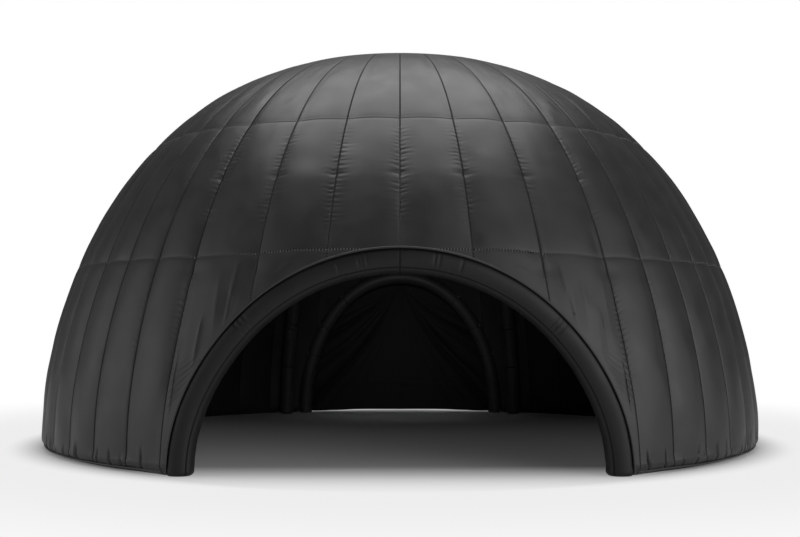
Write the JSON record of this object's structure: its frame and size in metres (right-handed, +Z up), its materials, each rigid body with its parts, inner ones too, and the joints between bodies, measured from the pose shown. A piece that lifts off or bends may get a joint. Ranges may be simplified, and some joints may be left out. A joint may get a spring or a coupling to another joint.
{
  "type": "inflatable event tent",
  "caption": "Large black inflatable dome tent with an open arched front doorway, a curtained rear doorway and inflated ribs inside.",
  "frame": {"origin": "on the ground, at the centre of the dome's base circle", "axes": "+Z up, -Y out of the open front doorway, +X to the right of someone who looks in through it"},
  "size_m": [9.9832, 9.1771, 5.42],
  "materials": {
    "black_coated_polyester": "semi-matte coated cloth",
    "dark_tube_cloth": "semi-matte coated cloth, pulled tight by air",
    "dark_curtain_cloth": "matte cloth",
    "black_piping": "semi-gloss corded edge"
  },
  "bodies": {
    "root": {"base_piping_left": "black_piping", "base_piping_right": "black_piping", "crown_cap": "black_coated_polyester", "crown_hub": "dark_tube_cloth", "front_arch_piping": "black_piping", "front_arch_tube": "dark_tube_cloth", "front_gore_left_1": "black_coated_polyester", "front_gore_left_2": "black_coated_polyester", "front_gore_left_3": "black_coated_polyester", "front_gore_right_1": "black_coated_polyester", "front_gore_right_2": "black_coated_polyester", "front_gore_right_3": "black_coated_polyester", "front_left_rib": "dark_tube_cloth", "front_right_rib": "dark_tube_cloth", "rear_arch_piping": "black_piping", "rear_arch_tube": "dark_tube_cloth", "rear_curtain": "dark_curtain_cloth", "rear_gore_left_1": "black_coated_polyester", "rear_gore_left_2": "black_coated_polyester", "rear_gore_left_3": "black_coated_polyester", "rear_gore_right_1": "black_coated_polyester", "rear_gore_right_2": "black_coated_polyester", "rear_gore_right_3": "black_coated_polyester", "rear_left_rib": "dark_tube_cloth", "rear_right_rib": "dark_tube_cloth", "side_wall_left_1": "black_coated_polyester", "side_wall_left_2": "black_coated_polyester", "side_wall_left_3": "black_coated_polyester", "side_wall_left_4": "black_coated_polyester", "side_wall_left_5": "black_coated_polyester", "side_wall_left_6": "black_coated_polyester", "side_wall_left_7": "black_coated_polyester", "side_wall_left_8": "black_coated_polyester", "side_wall_right_1": "black_coated_polyester", "side_wall_right_2": "black_coated_polyester", "side_wall_right_3": "black_coated_polyester", "side_wall_right_4": "black_coated_polyester", "side_wall_right_5": "black_coated_polyester", "side_wall_right_6": "black_coated_polyester", "side_wall_right_7": "black_coated_polyester", "side_wall_right_8": "black_coated_polyester"}
  },
  "joints": []
}
